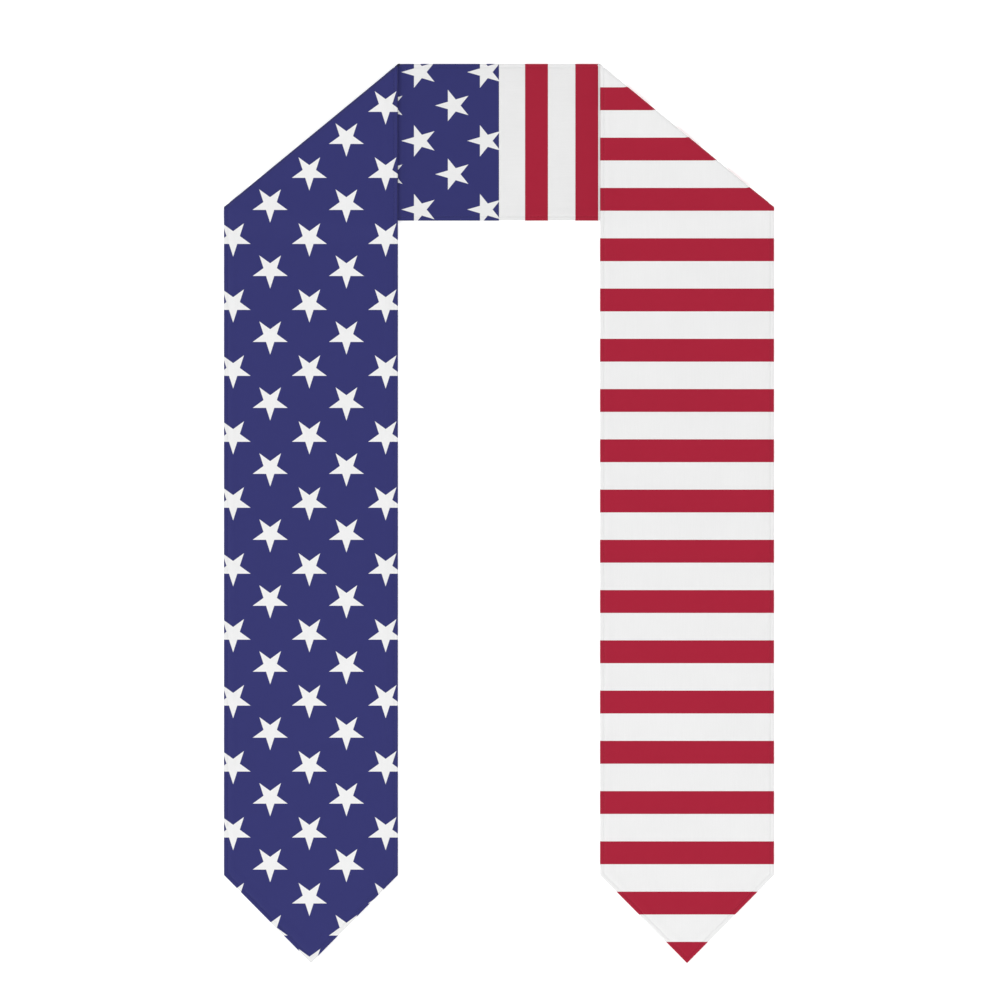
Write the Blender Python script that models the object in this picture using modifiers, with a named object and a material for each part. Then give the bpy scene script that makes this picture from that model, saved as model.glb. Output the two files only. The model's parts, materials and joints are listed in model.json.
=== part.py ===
"""A printed graduation stole, lying flat with each panel folded over the neck band at its shoulder.

Each half is a face cloth and a back cloth of one cut, sewn together round their edges. The cut is laid
out flat, creased where it bends, folded over at the shoulder and then given its wall. Metres, +Z up,
with X across the stole and Y from the points of the panels up to the neck. The origin is on the
surface under the middle of the stole.
"""

import math

import bmesh
import bpy
from mathutils import Matrix, Vector

# Panels
PANEL_WIDTH = 0.152
PANEL_GAP = 0.1765
SIDE_LENGTH = 0.5836
POINT_LENGTH = 0.077

# Neck band, and how far each shoulder fold falls from its top edge to the panel's outer side
NECK_DEPTH = 0.137
SHOULDER_DROP = 0.125

# Wall of each cloth, room between a face and its back, and room between a panel and the neck band
CLOTH_WALL = 0.001
CLOTH_GAP = 0.0003
LAYER_GAP = 0.001

# Length over which a panel comes down from the neck band to the surface
SETTLE_LENGTH = 0.025

# How far the sewn edge draws in where it goes round the fold
NECK_CORNER_EASE = 0.0025
SIDE_CORNER_EASE = 0.001

# Creases that stand for the round of the fold and for the slope of the panel
FOLD_STEPS = 8
SETTLE_STEPS = 6

# Points closer than this to a crease are taken to be on it
CREASE_REACH = 1e-6

COLLECTION = "graduation_stole"

# Colour of each half's print where it covers most, and the satin's roughness
CLOTHS = {
    "star": (0.0395, 0.0409, 0.1650, 1.0),
    "stripe": (0.8550, 0.8550, 0.8550, 1.0),
}
ROUGHNESS = 0.55

# The left half's edges, seen from above
HALF_HEIGHT = (SHOULDER_DROP + SIDE_LENGTH + POINT_LENGTH) / 2
SEAM_X = -CLOTH_GAP / 2
INNER_X = -PANEL_GAP / 2
OUTER_X = INNER_X - PANEL_WIDTH
SIDE_TOP = HALF_HEIGHT - SHOULDER_DROP
SIDE_BOTTOM = SIDE_TOP - SIDE_LENGTH

# The band's middle to either surface, the turn of the fold, and the height that it lifts the panel
HALF_BAND = CLOTH_WALL + CLOTH_GAP / 2
FOLD_RADIUS = HALF_BAND + LAYER_GAP / 2
TURN_LENGTH = math.pi * FOLD_RADIUS
LIFT = 2 * FOLD_RADIUS

# The shoulder fold runs from the panel's outer side up to the neck band's top edge
SIDE_CORNER = Vector((OUTER_X, SIDE_TOP))
NECK_CORNER = Vector((INNER_X, HALF_HEIGHT))
FOLD_ALONG = (NECK_CORNER - SIDE_CORNER).normalized()
FOLD_OUT = Vector((-FOLD_ALONG.y, FOLD_ALONG.x))

# The neck band's lower edge meets the panel here, and runs on under it to the outer side
BAND_CORNER = Vector((INNER_X, HALF_HEIGHT - NECK_DEPTH))
BAND_ALONG = (BAND_CORNER - SIDE_CORNER).normalized()
BAND_DOWN = Vector((BAND_ALONG.y, -BAND_ALONG.x))


def clear_scene():
    for thing in list(bpy.data.objects):
        bpy.data.objects.remove(thing, do_unlink=True)


def beyond_fold(point):
    """How far a point lies past the line where the band starts to turn over."""
    return (point - SIDE_CORNER).dot(FOLD_OUT) + FOLD_RADIUS + HALF_BAND


def below_band(point):
    """How far a point lies below the neck band's lower edge."""
    return (point - BAND_CORNER).dot(BAND_DOWN)


def at_fold(corner, towards):
    """Where an edge that leaves a corner of the fold crosses the line where the turn starts."""
    run = (towards - corner).normalized()
    return corner - run * beyond_fold(corner) / run.dot(FOLD_OUT)


def unfold(point):
    """The flat place of a point of the panel, with the panel opened out past the fold."""
    return point + FOLD_OUT * (TURN_LENGTH - 2 * beyond_fold(point))


def edge_round_fold(start, end, ease):
    """The flat edge across the turn, from the neck band's side of it to the panel's."""
    points = []
    for step in range(FOLD_STEPS + 1):
        share = step / FOLD_STEPS
        point = start.lerp(end, share) + FOLD_OUT * TURN_LENGTH * share
        points.append(point + FOLD_ALONG * ease * math.sin(math.pi * share))
    return points


def cut_outline():
    """The flat cut of the left half, from the foot of the centre-back seam, anticlockwise."""
    seam_foot = Vector((SEAM_X, BAND_CORNER.y))
    seam_head = Vector((SEAM_X, HALF_HEIGHT))
    inner_foot = Vector((INNER_X, SIDE_BOTTOM))
    outer_foot = Vector((OUTER_X, SIDE_BOTTOM))
    tip = Vector(((INNER_X + OUTER_X) / 2, SIDE_BOTTOM - POINT_LENGTH))
    neck_edge = edge_round_fold(
        at_fold(NECK_CORNER, seam_head), at_fold(NECK_CORNER, inner_foot), -NECK_CORNER_EASE
    )
    side_edge = edge_round_fold(
        at_fold(SIDE_CORNER, BAND_CORNER), at_fold(SIDE_CORNER, outer_foot), SIDE_CORNER_EASE
    )
    panel = [unfold(point) for point in (inner_foot, tip, outer_foot)]
    return [seam_foot, seam_head] + neck_edge + panel + side_edge[::-1] + [BAND_CORNER]


def crease(sheet, point, across):
    """Splits the flat cut along the line through a point, square to a direction."""
    bmesh.ops.bisect_plane(
        sheet,
        geom=sheet.verts[:] + sheet.edges[:] + sheet.faces[:],
        dist=CREASE_REACH,
        plane_co=point.to_3d(),
        plane_no=across.to_3d(),
    )


def crease_cut(sheet):
    """Creases the cut round the fold, and across the panel where it comes down off the neck band."""
    turn_start = at_fold(SIDE_CORNER, BAND_CORNER)
    for step in range(FOLD_STEPS + 1):
        crease(sheet, turn_start + FOLD_OUT * TURN_LENGTH * step / FOLD_STEPS, FOLD_OUT)
    flat_down = unfold(BAND_CORNER + BAND_DOWN) - unfold(BAND_CORNER)
    for step in range(SETTLE_STEPS + 1):
        place = BAND_CORNER + BAND_DOWN * SETTLE_LENGTH * step / SETTLE_STEPS
        crease(sheet, unfold(place), flat_down)


def fold_over(flat):
    """Where a point of the flat cut lies once the panel is folded over the neck band."""
    past = beyond_fold(flat)
    if past <= 0:
        return flat.to_3d() + Vector((0, 0, HALF_BAND))
    if past < TURN_LENGTH:
        turn = past / FOLD_RADIUS
        place = flat + FOLD_OUT * (FOLD_RADIUS * math.sin(turn) - past)
        height = FOLD_RADIUS * (1 - math.cos(turn))
    else:
        place = flat + FOLD_OUT * (TURN_LENGTH - 2 * past)
        height = LIFT
    settled = min(max(below_band(place) / SETTLE_LENGTH, 0), 1)
    height -= LIFT * settled**2 * (3 - 2 * settled)
    return place.to_3d() + Vector((0, 0, HALF_BAND + height))


def folded_sheet(name, mirrored):
    """The middle surface of one half, whose back cloth is on the side that its normals point to."""
    sheet = bmesh.new()
    sheet.faces.new([sheet.verts.new(point.to_3d()) for point in cut_outline()])
    crease_cut(sheet)
    for vert in sheet.verts:
        vert.co = fold_over(vert.co.to_2d())
    if mirrored:
        bmesh.ops.transform(sheet, matrix=Matrix.Diagonal((-1, 1, 1, 1)), verts=sheet.verts)
        bmesh.ops.reverse_faces(sheet, faces=sheet.faces)
    mesh = bpy.data.meshes.new(name)
    sheet.to_mesh(mesh)
    sheet.free()
    return mesh


def satin(name, colour):
    material = bpy.data.materials.new(name)
    material.use_nodes = True
    shader = material.node_tree.nodes["Principled BSDF"]
    shader.inputs["Base Color"].default_value = colour
    shader.inputs["Roughness"].default_value = ROUGHNESS
    shader.inputs["Metallic"].default_value = 0.0
    material.diffuse_color = colour
    return material


def add_cloth(collection, half, layer, mirrored):
    """Adds a face or back cloth: the half's middle surface, thickened on that cloth's side of it."""
    name = half + "_" + layer
    mesh = folded_sheet(name, mirrored)
    mesh.materials.append(satin(name + "_satin", CLOTHS[half]))
    cloth = bpy.data.objects.new(name, mesh)
    collection.objects.link(cloth)
    wall = cloth.modifiers.new("wall", "SOLIDIFY")
    wall.thickness = CLOTH_WALL
    wall.offset = (1 + CLOTH_GAP / CLOTH_WALL) * (1 if layer == "back" else -1)
    wall.use_even_offset = True


def main():
    clear_scene()
    collection = bpy.data.collections.new(COLLECTION)
    bpy.context.scene.collection.children.link(collection)
    for half, mirrored in (("star", False), ("stripe", True)):
        for layer in ("face", "back"):
            add_cloth(collection, half, layer, mirrored)


main()
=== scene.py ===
"""Dresses the packed graduation stole: four printed satin cloths, edge stitching and a pale stage."""

import math

import bpy
import json
import numpy as np
from bpy.props import FloatProperty, FloatVectorProperty, PointerProperty
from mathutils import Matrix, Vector

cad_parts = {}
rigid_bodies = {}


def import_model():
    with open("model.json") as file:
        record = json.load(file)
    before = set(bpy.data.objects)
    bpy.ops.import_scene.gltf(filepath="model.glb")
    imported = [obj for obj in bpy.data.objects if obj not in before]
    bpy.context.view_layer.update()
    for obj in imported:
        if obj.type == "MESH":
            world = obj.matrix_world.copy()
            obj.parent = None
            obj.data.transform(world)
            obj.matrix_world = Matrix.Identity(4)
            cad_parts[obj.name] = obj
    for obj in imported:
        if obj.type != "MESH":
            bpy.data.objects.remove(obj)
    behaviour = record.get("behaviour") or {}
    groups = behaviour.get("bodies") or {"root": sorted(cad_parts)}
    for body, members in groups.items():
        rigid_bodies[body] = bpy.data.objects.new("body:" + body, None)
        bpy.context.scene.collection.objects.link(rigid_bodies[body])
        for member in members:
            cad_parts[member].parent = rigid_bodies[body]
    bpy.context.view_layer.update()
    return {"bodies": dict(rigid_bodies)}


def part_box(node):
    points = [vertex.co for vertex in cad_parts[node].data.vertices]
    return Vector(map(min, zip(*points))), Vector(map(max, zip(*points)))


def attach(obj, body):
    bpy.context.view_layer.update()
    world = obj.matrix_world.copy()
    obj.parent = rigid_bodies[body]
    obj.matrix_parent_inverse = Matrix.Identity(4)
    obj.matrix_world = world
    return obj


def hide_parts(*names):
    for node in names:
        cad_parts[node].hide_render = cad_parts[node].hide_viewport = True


bl_info = {
    "name": "Graduation Stole",
    "version": (1, 0, 0),
    "blender": (4, 5, 0),
    "location": "View3D > Sidebar > Stole",
    "description": "Builds a printed satin stole, folded over at the shoulders and lying flat",
    "category": "Add Mesh",
}

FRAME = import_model()
BODY = list(FRAME["bodies"])[0]

# The left half's outer side and head, as the solids have them
STAR_LOW, STAR_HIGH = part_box("star_back")
HALF_WIDTH = -STAR_LOW.x
HALF_HEIGHT = STAR_HIGH.y
UP = np.array((0.0, 0.0, 1.0))


# Sizes and colours that a user would change


def size(name, description, default):
    """A length in metres."""
    return FloatProperty(
        name=name, description=description, default=default, min=0, unit="LENGTH", precision=5
    )


def colour(name, description, default):
    """A linear colour."""
    return FloatVectorProperty(
        name=name, description=description, default=default, subtype="COLOR", min=0, max=1
    )


class StoleCut(bpy.types.PropertyGroup):
    """The cut of each half, the same as the solids have."""

    panel_width: size("Panel width", "Width of each hanging panel", 0.152)
    side_length: size("Side length", "Outer side, from shoulder fold to point", 0.5836)
    point_length: size("Point length", "Height of the pointed end", 0.077)
    neck_depth: size("Neck depth", "Depth of the band behind the neck", 0.137)
    shoulder_drop: size("Shoulder drop", "Fall of each shoulder fold", 0.125)
    half_band: size("Half band", "From the band's middle to its surface", 0.00115)
    fold_radius: size("Fold radius", "Turn of the band's middle at the fold", 0.00165)
    settle_length: size("Settle length", "Run of the panel down off the band", 0.025)
    neck_ease: size("Neck corner ease", "Draw of the inner edge at the fold", 0.0007)
    side_ease: size("Side corner ease", "Draw of the outer edge at the fold", 0.0003)


class StoleCloth(bpy.types.PropertyGroup):
    """How the sewn cloth is shaped across its width and along its length."""

    wall_gap: size("Wall gap", "From the band's middle to a cloth's inside", 0.00015)
    seam_gap: size("Seam gap", "From the band's middle to the inside at the sewn edge", 0.00003)
    seam_close: size("Seam close", "Run over which the walls close up", 0.002)
    centre_height: size("Centre height", "Surface height away from the seams", 0.00098)
    lip: size("Lip", "Thickness of a cloth at its very edge", 0.0002)
    edge_round: size("Edge round", "Width of the rounded edge", 0.0009)
    allowance: size("Seam allowance", "Width of the cloth turned inside", 0.0098)
    allowance_fade: size("Allowance fade", "Run over which the allowance's ridge fades", 0.0022)
    stitch_inset: size("Stitch inset", "Edge stitching from the edge", 0.0033)
    groove_depth: size("Groove depth", "Dip along the edge stitching", 0.0003)
    groove_width: size("Groove width", "Half width of the dip along the stitching", 0.0007)
    wave_height: size("Wave height", "Rise of the soft waves", 0.0008)
    pucker_height: size("Pucker height", "Rise of the ripples at the stitching", 0.00014)
    sag: size("Sag", "How far a panel sinks onto the band", 0.0009)
    edge_drop: size("Edge drop", "How far an edge sinks onto the band, and moves out at the fold", 0.0009)
    cell: size("Mesh cell", "Spacing of the mesh away from the edges", 0.0026)


class StoleStitch(bpy.types.PropertyGroup):
    """The edge stitching."""

    pitch: size("Stitch pitch", "From one stitch to the next", 0.0031)
    length: size("Stitch length", "Visible length of one stitch", 0.0026)
    thread: size("Thread", "Thickness of the thread", 0.0003)


class StolePrint(bpy.types.PropertyGroup):
    """The printed pattern."""

    star_radius: size("Star radius", "From a star's middle to its points", 0.016)
    star_across: size("Star columns", "Between like columns of stars", 0.0666)
    star_along: size("Star rows", "Between stars of one column", 0.0576)
    stripe_pitch: size("Stripe pitch", "From one red stripe to the next", 0.04389)
    stripe_width: size("Stripe width", "Width of a red stripe", 0.02)
    star_neck_start: size("Star neck start", "Print's place at the centre seam, stars", 0.0255)
    stripe_neck_start: size("Stripe neck start", "Print's place at the seam, stripes", 0.04189)
    bleed: size("Bleed", "Softness of the print's edges", 0.00012)
    navy: colour("Navy", "Ground of the starred half", (0.0225, 0.0238, 0.139))
    red: colour("Red", "Stripes", (0.352, 0.004, 0.0275))
    white: colour("White", "Stars and ground of the striped half", (0.785, 0.785, 0.785))


class StoleStage(bpy.types.PropertyGroup):
    """Floor, light and camera."""

    view_width: size("View width", "Width of the picture at the stole", 0.8738)
    lens: FloatProperty(name="Lens", description="Focal length", default=200.0, unit="CAMERA")
    floor_radius: size("Floor radius", "Radius of the level floor", 7.0)
    wall_height: size("Wall height", "Height to which the floor curves up", 5.0)
    floor: colour("Floor", "Colour of the floor", (0.86, 0.86, 0.86))
    floor_glow: FloatProperty(name="Glow", description="Light from the floor itself", default=0.4)
    sky_light: FloatProperty(name="Sky", description="Strength of the even light", default=0.35)
    key_light: FloatProperty(
        name="Lamps", description="Power of each lamp, before its share", default=57.0, unit="POWER"
    )


GROUPS = {
    "stole_cut": StoleCut,
    "stole_cloth": StoleCloth,
    "stole_stitch": StoleStitch,
    "stole_print": StolePrint,
    "stole_stage": StoleStage,
}


# The flat cut of the left half, seen from above with the neck band in its place


def unit(vector):
    """The vector at length 1."""
    return vector / np.linalg.norm(vector)


def smooth(value):
    """0 up to 0, 1 from 1 on, with a soft start and end."""
    value = np.clip(value, 0.0, 1.0)
    return value * value * (3.0 - 2.0 * value)


def rounding(share):
    """A quarter circle: 0 at 0, 1 from 1 on."""
    return np.sqrt(1 - (1 - np.clip(share, 0, 1)) ** 2)


# Half of the gap between the two halves at the centre-back seam
SEAM_HALF_GAP = 0.00005


class Cut:
    """The left half's lines, worked out from the cut's sizes."""

    def __init__(self, sizes):
        self.half_band = sizes.half_band
        self.radius = sizes.fold_radius
        self.turn = math.pi * sizes.fold_radius
        self.settle = sizes.settle_length
        self.width = sizes.panel_width
        self.depth = sizes.neck_depth
        self.outer_x = -HALF_WIDTH
        self.inner_x = self.outer_x + sizes.panel_width
        self.top = HALF_HEIGHT
        self.side_top = HALF_HEIGHT - sizes.shoulder_drop
        self.side_foot = self.side_top - sizes.side_length
        self.point = sizes.point_length
        self.neck_ease = sizes.neck_ease
        self.side_ease = sizes.side_ease
        self.side_corner = np.array((self.outer_x, self.side_top))
        self.neck_corner = np.array((self.inner_x, self.top))
        self.band_corner = np.array((self.inner_x, self.top - self.depth))
        self.along = unit(self.neck_corner - self.side_corner)
        self.out = np.array((-self.along[1], self.along[0]))
        self.band_along = unit(self.band_corner - self.side_corner)
        self.band_down = np.array((self.band_along[1], -self.band_along[0]))
        self.seam_foot = np.array((-SEAM_HALF_GAP, self.top - self.depth))
        self.seam_head = np.array((-SEAM_HALF_GAP, self.top))
        self.inner_foot = np.array((self.inner_x, self.side_foot))
        self.outer_foot = np.array((self.outer_x, self.side_foot))
        self.tip = (self.inner_foot + self.outer_foot) / 2 - (0.0, self.point)

    def beyond(self, points):
        """How far points lie past the line where the band starts to turn over."""
        return (points - self.side_corner) @ self.out + self.radius + self.half_band

    def at_fold(self, corner, towards, inset=0.0):
        """Where an edge that leaves a corner of the fold crosses a line beside the turn."""
        run = unit(towards - corner)
        return corner - run * (self.beyond(corner) + inset) / (run @ self.out)

    def unfold(self, points):
        """The flat place of points of the panel, opened out past the fold."""
        return points + self.out * (self.turn - 2 * self.beyond(points))[..., None]

    def refold(self, flat):
        """The place of flat points as if the panel had turned over with no thickness."""
        return flat - self.out * (2 * self.beyond(flat) - self.turn)[..., None]

    def round_fold(self, start, end, share, ease):
        """A flat edge's place at a share of the way round the turn."""
        place = start + (end - start) * share + self.out * self.turn * share
        return place + self.along * ease * math.sin(math.pi * share)


# The mesh's rows run across the band, and its columns along it. Places are in millimetres from the
# centre-back seam, from the sewn edge and from the turn of the fold.
SEAM_ROWS = np.array((0, 0.15, 0.4, 0.8, 1.3, 2, 3)) / 1000
EDGE_COLUMNS = np.array((
    0, 0.15, 0.4, 0.8, 1.3, 1.9, 2.5, 2.9, 3.3, 3.7, 4.2, 5.2, 6.6, 8.2, 9.6, 11, 12.6
)) / 1000
FOLD_INSETS = np.array((0.8, 2, 4, 7)) / 1000
TURN_ROWS = 16

# How far along the band's head the row starts that ends at the band's corner
CORNER_ROW_SHARE = 0.7

# Where the panel's rows are level: from this far below the side's head, to this far above its foot
STRAIGHT_FROM = 0.045
MORPH_BEFORE_TIP = 0.05

# Run over which the ease at the fold's two corners fades
EASE_REACH = 0.006

# The run of the band's level edges
LEVEL = np.array((1.0, 0.0))


def steps(length, cell):
    """Shares from 0 up to, but not at, 1 for a stretch cut into an even number of cells."""
    count = 2 * max(1, round(length / cell / 2))
    return np.arange(count) / count


def row_between(low, high, low_edge, high_edge, middle):
    """One row's points, with its end columns at set distances from the two edges."""
    span = high - low
    along = unit(span)
    near = EDGE_COLUMNS / abs(np.cross(along, low_edge))
    far = EDGE_COLUMNS[::-1] / abs(np.cross(along, high_edge))
    full = np.linalg.norm(span)
    inner = near[-1] + (full - near[-1] - far[0]) * middle
    return low + along * np.concatenate((near, inner, full - far))[:, None]


def neck_rows(cut, cell, middle):
    """Rows square to the band's edges at the seam, then fanned round to lie along the fold."""
    rows = []
    high_end = cut.at_fold(cut.neck_corner, cut.seam_head)
    corner_top = cut.seam_head + (high_end - cut.seam_head) * CORNER_ROW_SHARE
    seam_shares = SEAM_ROWS / -cut.inner_x
    rest = seam_shares[-1] + (1 - seam_shares[-1]) * steps(-cut.inner_x, cell)[1:]
    for share in np.concatenate((seam_shares, rest)):
        low = cut.seam_foot + (cut.band_corner - cut.seam_foot) * share
        high = cut.seam_head + (corner_top - cut.seam_head) * share
        rows.append(row_between(low, high, LEVEL, LEVEL, middle))
    last_low = cut.at_fold(cut.side_corner, cut.band_corner, FOLD_INSETS[-1])
    last_high = cut.at_fold(cut.neck_corner, cut.seam_head, FOLD_INSETS[-1])
    for share in steps(np.linalg.norm(last_low - cut.band_corner), cell):
        low = cut.band_corner + (last_low - cut.band_corner) * share
        high = corner_top + (last_high - corner_top) * share
        rows.append(row_between(low, high, cut.band_along, LEVEL, middle))
    for inset in FOLD_INSETS[::-1]:
        rows.append(fold_row(cut, middle, inset))
    return rows


def fold_row(cut, middle, inset=0.0):
    """The neck band's row at an inset from the turn."""
    low = cut.at_fold(cut.side_corner, cut.band_corner, inset)
    high = cut.at_fold(cut.neck_corner, cut.seam_head, inset)
    return row_between(low, high, cut.band_along, LEVEL, middle)


def panel_line(cut, panel_x, inset):
    """The folded panel's row at an inset from the turn."""
    foot = cut.at_fold(cut.side_corner, cut.outer_foot, inset)
    slope = cut.along[1] / cut.along[0]
    return np.stack((panel_x, foot[1] + (panel_x - foot[0]) * slope), 1)


def turn_rows(cut, middle, panel_x):
    """Rows round the turn, where each column goes from the neck band's spacing to the panel's."""
    start = fold_row(cut, middle)
    end = panel_line(cut, panel_x, 0.0)
    from_outer = np.linalg.norm(end - end[0], axis=1)
    from_inner = np.linalg.norm(end - end[-1], axis=1)
    side_ease = cut.side_ease * np.exp(-from_outer / EASE_REACH)
    ease = side_ease - cut.neck_ease * np.exp(-from_inner / EASE_REACH)
    rows = []
    for step in range(TURN_ROWS + 1):
        share = step / TURN_ROWS
        place = start + (end - start) * share + cut.out * cut.turn * share
        rows.append(place + np.outer(ease * math.sin(math.pi * share), cut.along))
    return rows


def panel_rows(cut, cell, panel_x):
    """Rows of the folded panel: along the fold, then level, then along the two sides of the point."""
    rows = [panel_line(cut, panel_x, inset) for inset in FOLD_INSETS]
    slanted = rows[-1]
    straight_y = cut.side_top - STRAIGHT_FROM
    straight = np.stack((panel_x, np.full(len(panel_x), straight_y)), 1)
    for share in steps(slanted[-1, 1] - straight_y, cell)[1:]:
        rows.append(slanted + (straight - slanted) * share)
    morph_y = cut.side_foot + MORPH_BEFORE_TIP
    for share in steps(straight_y - morph_y, cell):
        rows.append(straight + (0.0, (morph_y - straight_y) * share))
    middle_x = (cut.inner_x + cut.outer_x) / 2
    reach = np.abs(panel_x - middle_x) / (cut.width / 2)
    foot = np.stack((panel_x, cut.side_foot - cut.point * (1 - reach)), 1)
    lean = math.hypot(cut.point, cut.width / 2) / (cut.width / 2)
    last = foot + (0.0, EDGE_COLUMNS[-1] * lean)
    level_row = np.stack((panel_x, np.full(len(panel_x), morph_y)), 1)
    for share in steps(morph_y - last[:, 1].min(), cell):
        rows.append(level_row + (last - level_row) * share)
    for inset in EDGE_COLUMNS[::-1]:
        rows.append(foot + (0.0, inset * lean))
    return rows


def flat_grid(cut, cell):
    """Rows of flat points from the centre-back seam to the panel's point, and the turn's first row."""
    middle_length = cut.width - 2 * EDGE_COLUMNS[-1]
    middle = steps(middle_length, cell)[1:]
    panel_x = np.concatenate((
        cut.outer_x + EDGE_COLUMNS,
        cut.outer_x + EDGE_COLUMNS[-1] + middle_length * middle,
        cut.inner_x - EDGE_COLUMNS[::-1],
    ))
    neck = neck_rows(cut, cell, middle)
    panel = [cut.unfold(row) for row in panel_rows(cut, cell, panel_x)]
    return np.array(neck + turn_rows(cut, middle, panel_x) + panel), len(neck)


def outline(cut):
    """The flat cut's sewn edge, from the foot of the centre-back seam round to its head."""
    low = cut.at_fold(cut.side_corner, cut.band_corner), cut.at_fold(cut.side_corner, cut.outer_foot)
    high = cut.at_fold(cut.neck_corner, cut.seam_head), cut.at_fold(cut.neck_corner, cut.inner_foot)
    shares = np.arange(TURN_ROWS + 1) / TURN_ROWS
    side = [cut.round_fold(*low, share, cut.side_ease) for share in shares]
    neck = [cut.round_fold(*high, share, -cut.neck_ease) for share in shares]
    panel = list(cut.unfold(np.array((cut.outer_foot, cut.tip, cut.inner_foot))))
    return np.array([cut.seam_foot, cut.band_corner] + side + panel + neck[::-1] + [cut.seam_head])


def distance_to(points, line):
    """The distance of each point from an open line of points."""
    best = np.full(points.shape[:-1], np.inf)
    for start, end in zip(line[:-1], line[1:]):
        run = end - start
        along = np.clip((points - start) @ run / (run @ run), 0, 1)
        gap = np.linalg.norm(points - start - along[..., None] * run, axis=-1)
        best = np.minimum(best, gap)
    return best


def fold_over(cut, flat):
    """Where the band's middle lies once folded, and which way its face looks."""
    past = cut.beyond(flat)
    turned = np.clip(past / cut.radius, 0, math.pi)
    over = past > cut.turn
    turning = np.where(past > 0, cut.radius * np.sin(turned) - past, 0)
    shift = np.where(over, cut.turn - 2 * past, turning)
    place = flat + shift[..., None] * cut.out
    height = cut.half_band + cut.radius * (1 - np.cos(turned))
    below = (place - cut.band_corner) @ cut.band_down
    height -= np.where(past > 0, 2 * cut.radius * smooth(below / cut.settle), 0)
    middle = np.concatenate((place, height[..., None]), axis=-1)
    facing = np.sin(turned)[..., None] * np.append(cut.out, 0.0) - np.cos(turned)[..., None] * UP
    return middle, facing, past


WAVES = (
    # share of the height, waves per metre across, waves per metre along, phase
    (0.34, 3.1, 4.3, 0.4),
    (0.26, -6.7, 7.9, 2.1),
    (0.18, 10.2, 3.7, 4.0),
    (0.13, 5.4, -13.1, 5.2),
    (0.09, -13.0, -17.3, 1.1),
)
PUCKERS = (
    # the same for the ripples at the stitching
    (0.5, 22.0, 47.0, 0.0),
    (0.3, -31.0, 71.0, 1.3),
    (0.2, 13.0, 29.0, 3.7),
)

# The share of the panels' waves that the neck band has, and the share of its thickness that a cloth
# keeps at the centre-back seam
NECK_WAVES = 0.35
SEAM_SHARE = 0.4

# Runs over which the waves begin beside the fold, and the puckers fade beside the stitching
LAYS_FLAT_OVER = 0.03
PUCKER_REACH = 0.006


def summed(terms, across, along):
    """Sines added up, between -1 and 1."""
    total = 0.0
    for share, rate_across, rate_along, phase in terms:
        turns = rate_across * across + rate_along * along
        total = total + share * np.sin(2 * math.pi * turns + phase)
    return total


def resting(cut, middle, past):
    """1 where the panel lies on the neck band, 0 where it lies on the surface or turns over."""
    above = smooth((past - cut.turn) / LAYS_FLAT_OVER)
    below = (middle[..., :2] - cut.band_corner) @ cut.band_down
    return above * (1 - smooth(below / cut.settle))


def lift(cut, cloth, middle, past, on_band):
    """How far soft waves raise the band, less how far it sinks onto the band below."""
    on_floor = smooth((past - cut.turn) / LAYS_FLAT_OVER) - on_band
    uncovered = np.where(past < 0, smooth((middle[..., 0] - cut.inner_x) / LAYS_FLAT_OVER), 0)
    wave = 0.5 + 0.5 * summed(WAVES, middle[..., 0], middle[..., 1])
    return cloth.wave_height * wave * (on_floor + NECK_WAVES * uncovered) - cloth.sag * on_band


def surface_height(cut, cloth, edge, seam, middle):
    """A cloth's outer surface above the band's middle, by its distance from edge and seam."""
    sewn = cut.half_band - cloth.centre_height
    height = cloth.centre_height + sewn * (1 - smooth((edge - cloth.allowance) / cloth.allowance_fade))
    start = cloth.seam_gap + cloth.lip
    height = start + (height - start) * rounding(edge / cloth.edge_round)
    height -= cloth.groove_depth * np.exp(-(((edge - cloth.stitch_inset) / cloth.groove_width) ** 2))
    joined = SEAM_SHARE + (1 - SEAM_SHARE) * rounding(seam / cloth.edge_round)
    height = start + (height - start) * joined
    ripple = summed(PUCKERS, middle[..., 0], middle[..., 1])
    near = np.exp(-(((edge - cloth.stitch_inset) / PUCKER_REACH) ** 2))
    away = smooth(edge / cloth.edge_round)
    return height - cloth.pucker_height * near * away * (0.5 + 0.5 * ripple)


def layer_points(cut, cloth, flat, sign, line):
    """A cloth's outer and inner surface points at flat places, sign 1 for face and -1 for back."""
    middle, facing, past = fold_over(cut, flat)
    edge = distance_to(flat, line)
    on_band = resting(cut, middle, past)
    shift = cloth.edge_drop * (1 - rounding(edge / cloth.edge_round))
    outwards = facing[..., :2] @ cut.out
    middle = middle + (lift(cut, cloth, middle, past, on_band) - shift * on_band)[..., None] * UP
    middle = middle + facing * (shift * outwards)[..., None]
    height = surface_height(cut, cloth, edge, np.abs(flat[..., 0]), middle)
    outside = middle + facing * (sign * height)[..., None]
    gap = cloth.seam_gap + (cloth.wall_gap - cloth.seam_gap) * smooth(edge / cloth.seam_close)
    inside = middle + facing * (sign * gap)[..., None]
    return outside, inside, facing * sign, np.stack((edge, np.abs(past - cut.turn / 2)), -1)


# Where the print falls: metres from the outer side, and metres down the band towards its point


def print_places(cut, flat, on_panel, neck_start=0.0):
    """The print's own coordinates at flat points, squeezed where the neck band is narrower."""
    folded = cut.refold(flat)
    panel = np.stack((folded[..., 0] - cut.outer_x, cut.top - folded[..., 1]), -1)
    across = (cut.top - flat[..., 1]) * cut.width / cut.depth
    neck = np.stack((across, -flat[..., 0]), -1)
    return np.where(on_panel[..., None], panel, neck + (0.0, neck_start))


# Meshes


def mirrored(points, side):
    """The right half is the left one mirrored."""
    return points * (side, 1.0, 1.0)


def new_object(name, mesh, material):
    """Adds a finished mesh to the scene."""
    mesh.materials.append(material)
    made = bpy.data.objects.new(name, mesh)
    bpy.context.scene.collection.objects.link(made)
    return made


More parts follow.
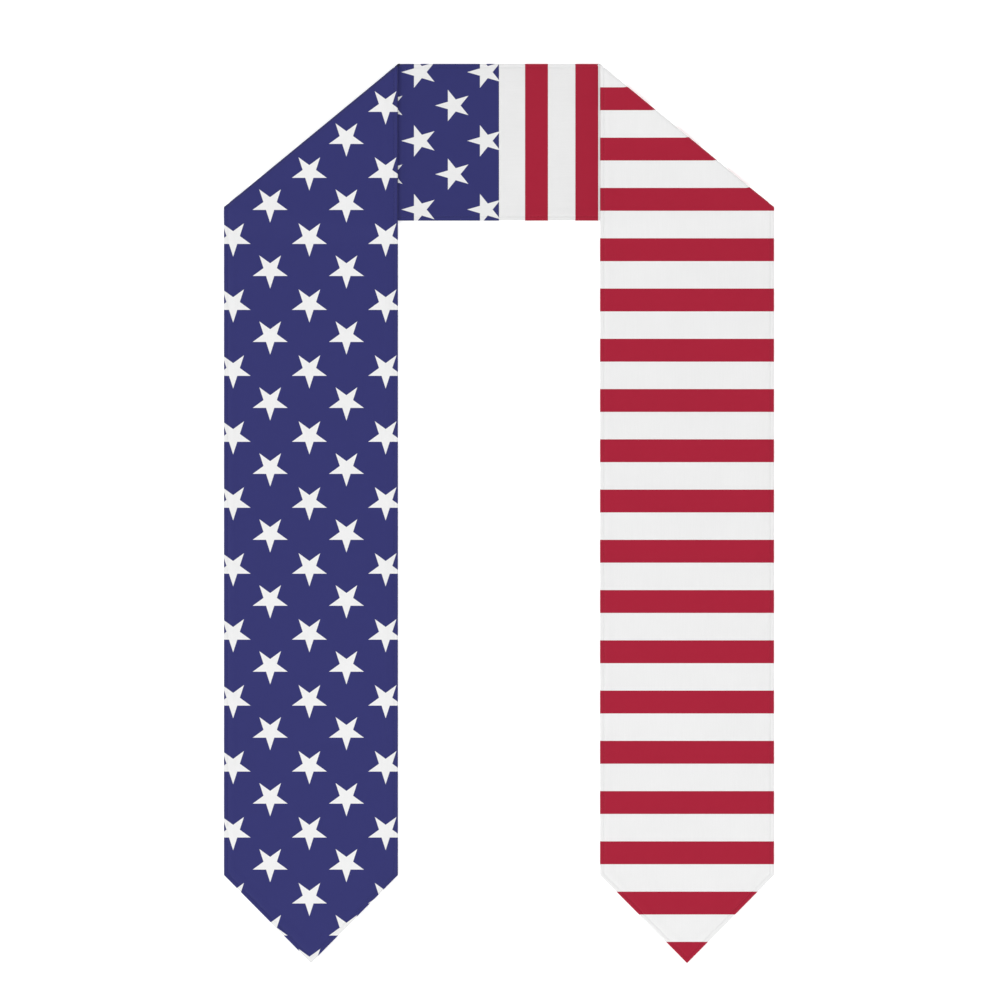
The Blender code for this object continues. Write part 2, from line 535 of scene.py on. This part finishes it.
def new_piece(name, mesh, material):
    """Adds a finished mesh as a piece of the stole."""
    piece = new_object(name, mesh, material)
    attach(piece, BODY)
    return piece


def mesh_from(name, points, faces, maps):
    """A smooth mesh with its maps, each given for each corner of each face."""
    mesh = bpy.data.meshes.new(name)
    mesh.from_pydata(points.tolist(), [], faces.tolist())
    for map_name, places in maps.items():
        layer = mesh.uv_layers.new(name=map_name)
        layer.uv.foreach_set("vector", places.astype(np.float32).ravel())
    mesh.shade_smooth()
    mesh.validate()
    return mesh


# Where each part of a cloth's surfaces lies on its texture sheet, in metres: its corner and its scale.
# Panels are cut in two because the sheet is square.
SHEET_SIDE = 0.462
UPPER, LOWER, NECK = range(3)
OUTSIDE_LAYOUT = {UPPER: (0.004, 0.006, 1.0), LOWER: (0.160, 0.006, 1.0), NECK: (0.316, 0.006, 1.0)}
INSIDE_LAYOUT = {UPPER: (0.318, 0.275, 0.4), LOWER: (0.386, 0.275, 0.4), NECK: (0.006, 0.404, 0.38)}

# Room left there over the fold, and over the cut between the panel's two parts
FOLD_ROOM = 0.003
CUT_ROOM = 0.002


def sheet_places(cut, part, places, split, layout, turned):
    """Where the corners of faces go on the texture sheet, from their print coordinates."""
    result = np.zeros(places.shape)
    for which, (left, low, scale) in layout.items():
        here = part == which
        spot = places[here] + (0.0, FOLD_ROOM if which == UPPER else 0.0)
        if which == LOWER:
            spot = spot - (0.0, split)
        if which == NECK:
            spot = spot * (cut.depth / cut.width, 1.0)
            if turned:
                spot = spot[..., ::-1]
        result[here] = (np.array((left, low)) + spot * scale) / SHEET_SIDE
    return result


def shell(grid_shape):
    """Faces of two surfaces that share their border, and the grid place of each of their points."""
    rows, columns = grid_shape
    index = np.arange(rows * columns).reshape(rows, columns)
    inner = index[1:-1, 1:-1]
    under = index.copy()
    under[1:-1, 1:-1] = index.size + np.arange(inner.size).reshape(inner.shape)
    surfaces = []
    for grid in (index, under):
        quads = np.stack((grid[:-1, :-1], grid[:-1, 1:], grid[1:, 1:], grid[1:, :-1]), -1)
        surfaces.append(quads.reshape(-1, 4))
    faces = np.concatenate((surfaces[0], surfaces[1][:, ::-1]))
    return faces, np.concatenate((index.ravel(), inner.ravel()))


def cloth_mesh(name, cut, cloth, sign, side, neck_start):
    """A closed sheet: an outer and an inner surface that share their border."""
    flat, turn_first = flat_grid(cut, cloth.cell)
    rows, columns = flat.shape[:2]
    outside, inside, _, edges = layer_points(cut, cloth, flat, sign, outline(cut))
    points = np.concatenate((outside.reshape(-1, 3), inside[1:-1, 1:-1].reshape(-1, 3)))
    faces, origin = shell((rows, columns))
    if sign * side < 0:
        faces = faces[:, ::-1]

    # Which part of the sheet each face of one surface belongs to
    folded = cut.top - cut.refold(flat)[:, 0, 1]
    half_way = turn_first + TURN_ROWS // 2
    cut_row = half_way + np.argmin(np.abs(folded[half_way:] - folded[-1] / 2))
    row = np.repeat(np.arange(rows - 1), columns - 1)
    part = np.select((row < half_way, row < cut_row), (NECK, UPPER), LOWER)

    on_panel = np.repeat((np.tile(part, 2) != NECK)[:, None], 4, axis=1)
    corners = origin[faces]
    places = print_places(cut, flat.reshape(-1, 2)[corners], on_panel)
    split = folded[cut_row] - CUT_ROOM
    half = len(part)
    sheet = np.concatenate((
        sheet_places(cut, part, places[:half], split, OUTSIDE_LAYOUT, False),
        sheet_places(cut, part, places[half:], split, INSIDE_LAYOUT, True),
    ))
    maps = {
        "print": places + np.where(on_panel[..., None], 0.0, (0.0, neck_start)),
        "edge": edges.reshape(-1, 2)[corners],
        "OFBake": sheet,
    }
    return mesh_from(name, mirrored(points, side), faces, maps)


STITCH_RINGS = (
    # share of the stitch's length, height in threads, thickness share
    (0.0, -0.7, 0.6),
    (0.1, 0.05, 0.95),
    (0.5, 0.24, 1.0),
    (0.9, 0.05, 0.95),
    (1.0, -0.7, 0.6),
)
THREAD_SIDES = 6


def inset_line(cut, inset):
    """The sewn edge moved inwards, with its corners mitred."""
    line = outline(cut)
    runs = np.array([unit(run) for run in np.diff(line, axis=0)])
    inward = np.stack((runs[:, 1], -runs[:, 0]), 1)
    moved = [line[0] + inward[0] * inset]
    for before, after, point in zip(inward[:-1], inward[1:], line[1:-1]):
        moved.append(point + (before + after) * inset / (1 + before @ after))
    moved.append(line[-1] + inward[-1] * inset)
    return np.array(moved)


def places_along(line, distances):
    """Points at distances along a line of points."""
    lengths = np.concatenate(((0,), np.cumsum(np.linalg.norm(np.diff(line, axis=0), axis=1))))
    return np.stack([np.interp(distances, lengths, line[:, k]) for k in range(2)], -1)


def thread_points(centre, facing, thickness, shares):
    """Rings of points round the middles of short threads."""
    run = np.gradient(centre, axis=1)
    run /= np.linalg.norm(run, axis=-1, keepdims=True)
    across = np.cross(run, facing)
    across /= np.linalg.norm(across, axis=-1, keepdims=True)
    over = np.cross(across, run)
    angle = 2 * math.pi * np.arange(THREAD_SIDES) / THREAD_SIDES
    radius = thickness / 2 * shares[None, :, None, None]
    spoke = (
        np.cos(angle)[None, None, :, None] * across[:, :, None]
        + np.sin(angle)[None, None, :, None] * over[:, :, None]
    )
    return centre[:, :, None] + spoke * radius


def thread_faces(count, ring_count, side):
    """Walls and end caps of the threads."""
    index = np.arange(count * ring_count * THREAD_SIDES).reshape(count, ring_count, THREAD_SIDES)
    turned = np.roll(index, -1, axis=2)
    walls = np.stack((index[:, :-1], turned[:, :-1], turned[:, 1:], index[:, 1:]), -1).reshape(-1, 4)
    if side < 0:
        walls = walls[:, ::-1]
    caps = []
    for ring, order in ((0, -1), (-1, 1)):
        cap = index[:, ring, :: order * (1 if side > 0 else -1)]
        caps += [cap[:, (0, 1, 2, 3)], cap[:, (0, 3, 4, 5)]]
    return np.concatenate([walls] + caps)


def stitch_mesh(name, cut, cloth, stitch, sign, side, neck_start):
    """All stitches along one cloth's sewn edge, each a short run of thread that dips in at its ends."""
    line = inset_line(cut, cloth.stitch_inset)
    total = np.linalg.norm(np.diff(line, axis=0), axis=1).sum()
    starts = np.arange(stitch.pitch, total - stitch.pitch, stitch.pitch)
    rings = np.array(STITCH_RINGS)
    flat = places_along(line, starts[:, None] + stitch.length * rings[:, 0])
    on_top, _, facing, edges = layer_points(cut, cloth, flat, sign, outline(cut))
    centre = on_top + facing * (stitch.thread * rings[:, 1])[None, :, None]
    points = thread_points(centre, facing, stitch.thread, rings[:, 2])
    faces = thread_faces(len(starts), len(rings), side)
    owner = faces // THREAD_SIDES
    flat_corners = flat.reshape(-1, 2)[owner]
    on_panel = cut.beyond(flat_corners[:, :1]) > cut.turn / 2
    maps = {
        "print": print_places(cut, flat_corners, np.repeat(on_panel, 4, axis=1), neck_start),
        "edge": edges.reshape(-1, 2)[owner],
    }
    return mesh_from(name, mirrored(points.reshape(-1, 3), side), faces, maps)


# Materials

# The mix node's own places for a share, two colours and the mixed colour
MIX_SHARE, MIX_FIRST, MIX_SECOND = 0, 6, 7
MIX_RESULT = 2


class Nodes:
    """Adds and links the nodes of one material."""

    def __init__(self, material):
        material.use_nodes = True
        self.tree = material.node_tree
        self.shader = self.tree.nodes["Principled BSDF"]

    def add(self, kind, **settings):
        """A new node with its settings."""
        node = self.tree.nodes.new(kind)
        for key, value in settings.items():
            setattr(node, key, value)
        return node

    def feed(self, socket, value):
        """Gives a socket a plain value, or links it to another one."""
        if isinstance(value, bpy.types.NodeSocket):
            self.tree.links.new(value, socket)
        else:
            socket.default_value = value

    def maths(self, operation, *values):
        """One step of arithmetic."""
        node = self.add("ShaderNodeMath", operation=operation)
        for socket, value in zip(node.inputs, values):
            self.feed(socket, value)
        return node.outputs[0]

    def mix(self, share, first, second, blend="MIX"):
        """Two colours mixed."""
        node = self.add("ShaderNodeMix", data_type="RGBA", blend_type=blend)
        self.feed(node.inputs[MIX_SHARE], share)
        self.feed(node.inputs[MIX_FIRST], first)
        self.feed(node.inputs[MIX_SECOND], second)
        return node.outputs[MIX_RESULT]

    def shaded(self, colour, shade):
        """A colour made darker by a grey shade."""
        grey = self.add("ShaderNodeCombineColor")
        for socket in grey.inputs:
            self.feed(socket, shade)
        return self.mix(1.0, colour, grey.outputs[0], "MULTIPLY")

    def mapped(self, name):
        """A map of the mesh, whole and as its two parts."""
        source = self.add("ShaderNodeUVMap", uv_map=name)
        split = self.add("ShaderNodeSeparateXYZ")
        self.feed(split.inputs[0], source.outputs[0])
        return source.outputs[0], split.outputs[0], split.outputs[1]

    def noise(self, place, scale, detail):
        """Flat noise, between 0 and 1, with its own scale across and along."""
        node = self.add("ShaderNodeTexNoise", noise_dimensions="2D")
        stretch = self.add("ShaderNodeVectorMath", operation="MULTIPLY")
        self.feed(stretch.inputs[0], place)
        stretch.inputs[1].default_value = scale
        self.feed(node.inputs["Vector"], stretch.outputs[0])
        node.inputs["Scale"].default_value = 1.0
        node.inputs["Detail"].default_value = detail
        return node.outputs[0]

    def bell(self, value, centre, width):
        """1 where value is at the centre, and soft down to 0 around it."""
        off = self.maths("DIVIDE", self.maths("SUBTRACT", value, centre), width)
        square = self.maths("MULTIPLY", off, off)
        return self.maths("EXPONENT", self.maths("MULTIPLY", square, -1.0))

    def wrapped(self, value, start, pitch):
        """The distance from the nearest repeat of a start, below 0 on one side of it."""
        return self.maths("WRAP", self.maths("SUBTRACT", value, start), pitch / 2, -pitch / 2)

    def soft_step(self, value, edge, softness):
        """1 where value is under edge, 0 where it is over, with a soft change between."""
        node = self.add("ShaderNodeMapRange", interpolation_type="SMOOTHSTEP")
        self.feed(node.inputs["Value"], value)
        self.feed(node.inputs["From Min"], edge - softness)
        self.feed(node.inputs["From Max"], edge + softness)
        self.feed(node.inputs["To Min"], 1.0)
        self.feed(node.inputs["To Max"], 0.0)
        return node.outputs[0]


STAR_STARTS = (
    # metres across and along to the middle of a star of each of the two sets of columns
    (0.00806, 0.0372),
    (0.0404, 0.0652),
)

# Metres along to the middle of a red stripe
STRIPE_MIDDLE = 0.03076

# Half of the angle from one point of a star to the next, and half of the angle of its tip
HALF_STEP = math.pi / 5
HALF_TIP = math.pi / 10


def star_mask(nodes, sizes, across, along):
    """1 on the stars, each with one point towards the band's end."""
    mask = None
    for start_across, start_along in STAR_STARTS:
        u = nodes.wrapped(across, start_across, sizes.star_across)
        v = nodes.wrapped(along, start_along, sizes.star_along)
        squares = nodes.maths("ADD", nodes.maths("MULTIPLY", u, u), nodes.maths("MULTIPLY", v, v))
        angle = nodes.maths("PINGPONG", nodes.maths("ARCTAN2", u, v), HALF_STEP)
        lean = nodes.maths("SINE", nodes.maths("ADD", angle, HALF_TIP))
        reach = nodes.maths("MULTIPLY", nodes.maths("SQRT", squares), lean)
        inside = nodes.soft_step(reach, sizes.star_radius * math.sin(HALF_TIP), sizes.bleed)
        mask = inside if mask is None else nodes.maths("MAXIMUM", mask, inside)
    return mask


def stripe_mask(nodes, sizes, along):
    """1 on the red stripes, which run across the band."""
    place = nodes.wrapped(along, STRIPE_MIDDLE, sizes.stripe_pitch)
    return nodes.soft_step(nodes.maths("ABSOLUTE", place), sizes.stripe_width / 2, sizes.bleed)


def printed_colour(nodes, sizes, half, across, along):
    """The print's colour for one half of the stole."""
    if half == "star":
        return nodes.mix(star_mask(nodes, sizes, across, along), (*sizes.navy, 1), (*sizes.white, 1))
    return nodes.mix(stripe_mask(nodes, sizes, along), (*sizes.white, 1), (*sizes.red, 1))


# Painted shade: how much darker the colour is painted at the cloth's very edge, at the crest of the
# fold, in the dip of the stitching and along the allowance, where shade falls, and how wide the crest's
# painted shade is
RIM_SHADE = {"star": 0.14, "stripe": 0.05}
CREST_SHADE = {"star": 0.55, "stripe": 0.05}
CREST_WIDTH = {"star": 0.0017, "stripe": 0.0009}
LINE_SHADE = 0.035
ALLOWANCE_PAINTED_SHADE = 0.008

# Satin's floats: width and length of one, how far each row's ends step on, and the dip at an end
FLOAT_WIDTH = 0.00032
FLOAT_LENGTH = 0.0015
FLOAT_STEP = 0.4
FLOAT_END = 0.08

# Unevenness of dye and slubs in the thread: changes per metre across and along, then levels of detail
CLOUDS = ((22.0, 22.0, 1.0), 4.0)
SLUBS = ((900.0, 45.0, 1.0), 2.0)
SLUB_RELIEF = 0.5

# Brightness that clouds of dye add, painted shade that darkens the weave's dips, and what is there
# without them
CLOUD_SHADE = 0.04
DYE_LEVEL = 0.98
WEAVE_SHADE = 0.07
WEAVE_LEVEL = 0.943

# Roughness of smooth thread, and what the slubs add
SATIN_ROUGHNESS = 0.46
SLUB_ROUGHNESS = 0.16

# Strength and depth of the weave's relief, then the satin's gloss and sheen
WEAVE_BUMP = 0.5
WEAVE_DEPTH = 0.00006
SATIN_GLOSS = 0.24
SATIN_SHEEN = 0.06
SHEEN_ROUGHNESS = 0.35


def satin_floats(nodes, across, along):
    """Height of a satin weave: rows of long threads, each row's ends stepped from the last one's."""
    row = nodes.maths("DIVIDE", across, FLOAT_WIDTH)
    step = nodes.maths("MULTIPLY", nodes.maths("FLOOR", row), FLOAT_STEP)
    run = nodes.maths("MULTIPLY_ADD", along, 1 / FLOAT_LENGTH, step)
    dip = nodes.bell(nodes.maths("PINGPONG", run, 0.5), 0.0, FLOAT_END)
    ridge = nodes.maths("SINE", nodes.maths("MULTIPLY", nodes.maths("FRACT", row), math.pi))
    return nodes.maths("MULTIPLY", ridge, nodes.maths("SUBTRACT", 1.0, dip))


def painted_seam_and_fold_shade(nodes, cloth, half):
    """Painted shade: how much darker the colour is painted along the seams, the stitching and the fold's
    crest.
    """
    _, edge, fold = nodes.mapped("edge")
    line = nodes.bell(edge, cloth.stitch_inset, cloth.groove_width)
    rim = nodes.bell(edge, 0.0, cloth.edge_round)
    crest = nodes.bell(fold, 0.0, CREST_WIDTH[half])
    allowance_ridge = nodes.bell(edge, cloth.allowance, cloth.allowance_fade)
    shade_share = nodes.maths("MULTIPLY_ADD", rim, RIM_SHADE[half], nodes.maths("MULTIPLY", line, LINE_SHADE))
    shade_share = nodes.maths("MULTIPLY_ADD", crest, CREST_SHADE[half], shade_share)
    return nodes.maths("ADD", shade_share, nodes.maths("MULTIPLY", allowance_ridge, ALLOWANCE_PAINTED_SHADE))


def satin_material(name, sizes, cloth, half, depth):
    """Printed satin: pattern, slight unevenness of dye, fine floats, stitch line and a soft sheen, with
    painted shade in the weave's dips, along the edges and the fold's crest, and over the back cloths.
    """
    material = bpy.data.materials.new(name)
    nodes = Nodes(material)
    place, across, along = nodes.mapped("print")
    pattern = printed_colour(nodes, sizes, half, across, along)
    cloud = nodes.noise(place, *CLOUDS)
    slubs = nodes.noise(place, *SLUBS)
    weave = nodes.maths("MULTIPLY_ADD", slubs, SLUB_RELIEF, satin_floats(nodes, across, along))
    # depth is a painted shade: the back cloths, seen only on the neck band, are painted a little darker
    shade = nodes.maths("MULTIPLY_ADD", cloud, CLOUD_SHADE, depth * DYE_LEVEL)
    # Painted shade: the colour is darker in the dips of the weave
    weave_shading = nodes.maths("MULTIPLY_ADD", weave, WEAVE_SHADE, WEAVE_LEVEL)
    shade = nodes.maths("MULTIPLY", shade, weave_shading)
    # Painted shade darkens the colour at the edges, the stitching, the allowance and the fold's crest
    shade = nodes.maths("MULTIPLY", shade, nodes.maths("SUBTRACT", 1.0, painted_seam_and_fold_shade(nodes, cloth, half)))
    rough = nodes.maths("MULTIPLY_ADD", slubs, SLUB_ROUGHNESS, SATIN_ROUGHNESS)
    bump = nodes.add("ShaderNodeBump")
    nodes.feed(bump.inputs["Strength"], WEAVE_BUMP)
    nodes.feed(bump.inputs["Distance"], WEAVE_DEPTH)
    nodes.feed(bump.inputs["Height"], weave)
    nodes.feed(nodes.shader.inputs["Base Color"], nodes.shaded(pattern, shade))
    nodes.feed(nodes.shader.inputs["Roughness"], rough)
    nodes.feed(nodes.shader.inputs["Normal"], bump.outputs[0])
    nodes.shader.inputs["Specular IOR Level"].default_value = SATIN_GLOSS
    nodes.shader.inputs["Sheen Weight"].default_value = SATIN_SHEEN
    nodes.shader.inputs["Sheen Roughness"].default_value = SHEEN_ROUGHNESS
    return material


# The four cloths and their stitching

# The side that each half lies on, the side that each cloth faces, and each cloth's painted shade: the
# back cloths, seen only on the neck band, are painted a little darker
HALVES = {"star": 1.0, "stripe": -1.0}
LAYERS = {"face": 1.0, "back": -1.0}
PAINTED_LAYER_SHADE = {"face": 1.0, "back": 0.965}


def settings(context):
    """The property groups by their plain names."""
    scene = context.scene
    return scene.stole_cut, scene.stole_cloth, scene.stole_stitch, scene.stole_print


def neck_start(sizes, half):
    """How far down the band the print is where it meets the centre-back seam."""
    return sizes.star_neck_start if half == "star" else sizes.stripe_neck_start


def flat_size(cut):
    """Width, length and area of one cloth's flat cut."""
    line = outline(cut)
    x, y = line.T
    area = abs(np.dot(x, np.roll(y, 1)) - np.dot(y, np.roll(x, 1))) / 2
    run = unit(cut.unfold(cut.tip[None])[0] - (cut.seam_head + cut.seam_foot) / 2)
    side = np.array((-run[1], run[0]))
    return float(np.ptp(line @ side)), float(np.ptp(line @ run)), float(area)


def add_half(context, half):
    """Adds one half's face and back cloth in place of their solids."""
    cut_sizes, cloth, _, print_sizes = settings(context)
    cut = Cut(cut_sizes)
    width, length, area = flat_size(cut)
    start = neck_start(print_sizes, half)
    for layer, sign in LAYERS.items():
        node = half + "_" + layer
        satin = satin_material(node + "_satin", print_sizes, cloth, half, PAINTED_LAYER_SHADE[layer])
        mesh = cloth_mesh(node + "_cloth", cut, cloth, sign, HALVES[half], start)
        piece = new_piece(node + "_cloth", mesh, satin)
        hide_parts(node)


class STOLE_OT_star_half(bpy.types.Operator):
    """Add the starred half's face and back cloths"""

    bl_idname = "stole.star_half"
    bl_label = "Starred half"

    def execute(self, context):
        add_half(context, "star")
        return {"FINISHED"}


class STOLE_OT_stripe_half(bpy.types.Operator):
    """Add the striped half's face and back cloths"""

    bl_idname = "stole.stripe_half"
    bl_label = "Striped half"

    def execute(self, context):
        add_half(context, "stripe")
        return {"FINISHED"}


class STOLE_OT_stitching(bpy.types.Operator):
    """Add the edge stitching of all four cloths"""

    bl_idname = "stole.stitching"
    bl_label = "Edge stitching"

    def execute(self, context):
        cut_sizes, cloth, stitch, print_sizes = settings(context)
        cut = Cut(cut_sizes)
        for half, side in HALVES.items():
            start = neck_start(print_sizes, half)
            for layer, sign in LAYERS.items():
                name = half + "_" + layer + "_stitching"
                thread = satin_material(name, print_sizes, cloth, half, PAINTED_LAYER_SHADE[layer])
                mesh = stitch_mesh(name, cut, cloth, stitch, sign, side, start)
                new_piece(name, mesh, thread)
        return {"FINISHED"}


class STOLE_OT_stage(bpy.types.Operator):
    """Add the pale floor, the soft light and the camera straight above"""

    bl_idname = "stole.stage"
    bl_label = "Stage"

    def execute(self, context):
        stage = context.scene.stole_stage
        add_floor(stage)
        add_lights(context.scene, stage)
        add_camera(context.scene, stage)
        return {"FINISHED"}


# The picture's middle on the floor, the width of the camera's sensor in mm, and its furthest sight
PICTURE_MIDDLE = (0.00087, 0.0118)
SENSOR = 36.0
SIGHT = 50.0

# Sides and rings of the floor's curved rim, and the radii in metres of two rings inside it
COVE_SIDES = 128
COVE_RINGS = 24
LEVEL_RINGS = (0.5, 2.0)
LAMPS = (
    # metres from the middle, and the share of the lamps' strength
    ((-3.4, 0.0, 2.9), 1.3),
    ((3.4, 0.0, 2.9), 0.7),
    ((0.0, 3.4, 2.9), 0.65),
    ((0.0, -3.4, 2.9), 1.3),
)

# Metres along each side of a lamp
LAMP_SIDE = 2.2

# The floor's paper: changes of its grain per metre, how much they brighten it, and its finish
GRAIN_SCALE = 9.0
GRAIN_SHADE = 0.02
GRAIN_LEVEL = 0.99
PAPER_ROUGHNESS = 0.9
PAPER_GLOSS = 0.1

# The colour of all the light
WHITE = (1.0, 1.0, 1.0, 1.0)


def add_floor(stage):
    """A level floor that curves up into a wall all round, as a studio cove does."""
    turn = np.linspace(0, math.pi / 2, COVE_RINGS)
    radii = np.concatenate((LEVEL_RINGS, stage.floor_radius + stage.wall_height * np.sin(turn)))
    heights = np.concatenate((np.zeros(len(LEVEL_RINGS)), stage.wall_height * (1 - np.cos(turn))))
    angle = 2 * math.pi * np.arange(COVE_SIDES) / COVE_SIDES
    rings = np.stack((
        radii[:, None] * np.cos(angle),
        radii[:, None] * np.sin(angle),
        np.repeat(heights[:, None], COVE_SIDES, 1),
    ), -1)
    index = np.arange(rings.shape[0] * COVE_SIDES).reshape(-1, COVE_SIDES)
    turned = np.roll(index, -1, axis=1)
    walls = np.stack((index[:-1], index[1:], turned[1:], turned[:-1]), -1).reshape(-1, 4)
    mesh = bpy.data.meshes.new("floor")
    mesh.from_pydata(rings.reshape(-1, 3).tolist(), [], walls.tolist() + [index[0].tolist()])
    mesh.shade_smooth()
    new_object("floor", mesh, floor_material(stage))


def floor_material(stage):
    """Pale paper that glows a little, so that it stays plain under the lamps."""
    material = bpy.data.materials.new("floor_paper")
    nodes = Nodes(material)
    grain = nodes.add("ShaderNodeTexNoise")
    nodes.feed(grain.inputs["Scale"], GRAIN_SCALE)
    shade = nodes.maths("MULTIPLY_ADD", grain.outputs[0], GRAIN_SHADE, GRAIN_LEVEL)
    nodes.feed(nodes.shader.inputs["Base Color"], nodes.shaded((*stage.floor, 1), shade))
    nodes.shader.inputs["Emission Color"].default_value = WHITE
    nodes.shader.inputs["Emission Strength"].default_value = stage.floor_glow
    nodes.shader.inputs["Roughness"].default_value = PAPER_ROUGHNESS
    nodes.shader.inputs["Specular IOR Level"].default_value = PAPER_GLOSS
    return material


def add_lights(scene, stage):
    """An even light from all round, and four wide lamps outside the picture."""
    world = bpy.data.worlds.new("studio")
    world.use_nodes = True
    background = world.node_tree.nodes["Background"]
    background.inputs["Color"].default_value = WHITE
    background.inputs["Strength"].default_value = stage.sky_light
    scene.world = world
    for number, (place, share) in enumerate(LAMPS):
        lamp = bpy.data.lights.new("lamp_" + str(number), "AREA")
        lamp.shape = "SQUARE"
        lamp.size = LAMP_SIDE
        lamp.energy = stage.key_light * share
        light = bpy.data.objects.new(lamp.name, lamp)
        light.location = place
        light.rotation_euler = (-Vector(place)).to_track_quat("-Z", "Y").to_euler()
        scene.collection.objects.link(light)


def add_camera(scene, stage):
    """A camera that looks straight down on the picture's middle."""
    camera = bpy.data.cameras.new("camera")
    camera.lens = stage.lens
    camera.sensor_width = SENSOR
    camera.clip_end = SIGHT
    holder = bpy.data.objects.new("camera", camera)
    holder.location = (*PICTURE_MIDDLE, stage.view_width * stage.lens / SENSOR)
    scene.collection.objects.link(holder)
    scene.camera = holder
    scene.view_settings.view_transform = "Standard"
    scene.view_settings.look = "None"


class STOLE_PT_panel(bpy.types.Panel):
    """Sizes, colours and the steps that build the stole"""

    bl_label = "Graduation Stole"
    bl_space_type = "VIEW_3D"
    bl_region_type = "UI"
    bl_category = "Stole"

    def draw(self, context):
        for operator in OPERATORS:
            self.layout.operator(operator.bl_idname)
        for name, group in GROUPS.items():
            box = self.layout.box()
            box.label(text=group.__doc__)
            for key in group.__annotations__:
                box.prop(getattr(context.scene, name), key)


OPERATORS = (STOLE_OT_star_half, STOLE_OT_stripe_half, STOLE_OT_stitching, STOLE_OT_stage)
CLASSES = (*GROUPS.values(), *OPERATORS, STOLE_PT_panel)


def register():
    """Adds the classes and the scene's groups of sizes."""
    for kind in CLASSES:
        bpy.utils.register_class(kind)
    for name, group in GROUPS.items():
        setattr(bpy.types.Scene, name, PointerProperty(type=group))


def unregister():
    """Takes the groups and classes away again."""
    for name in GROUPS:
        delattr(bpy.types.Scene, name)
    for kind in reversed(CLASSES):
        bpy.utils.unregister_class(kind)


def main():
    """Builds the stole and its stage."""
    register()
    bpy.ops.stole.star_half()
    bpy.ops.stole.stripe_half()
    bpy.ops.stole.stitching()
    bpy.ops.stole.stage()


if __name__ == "__main__":
    main()
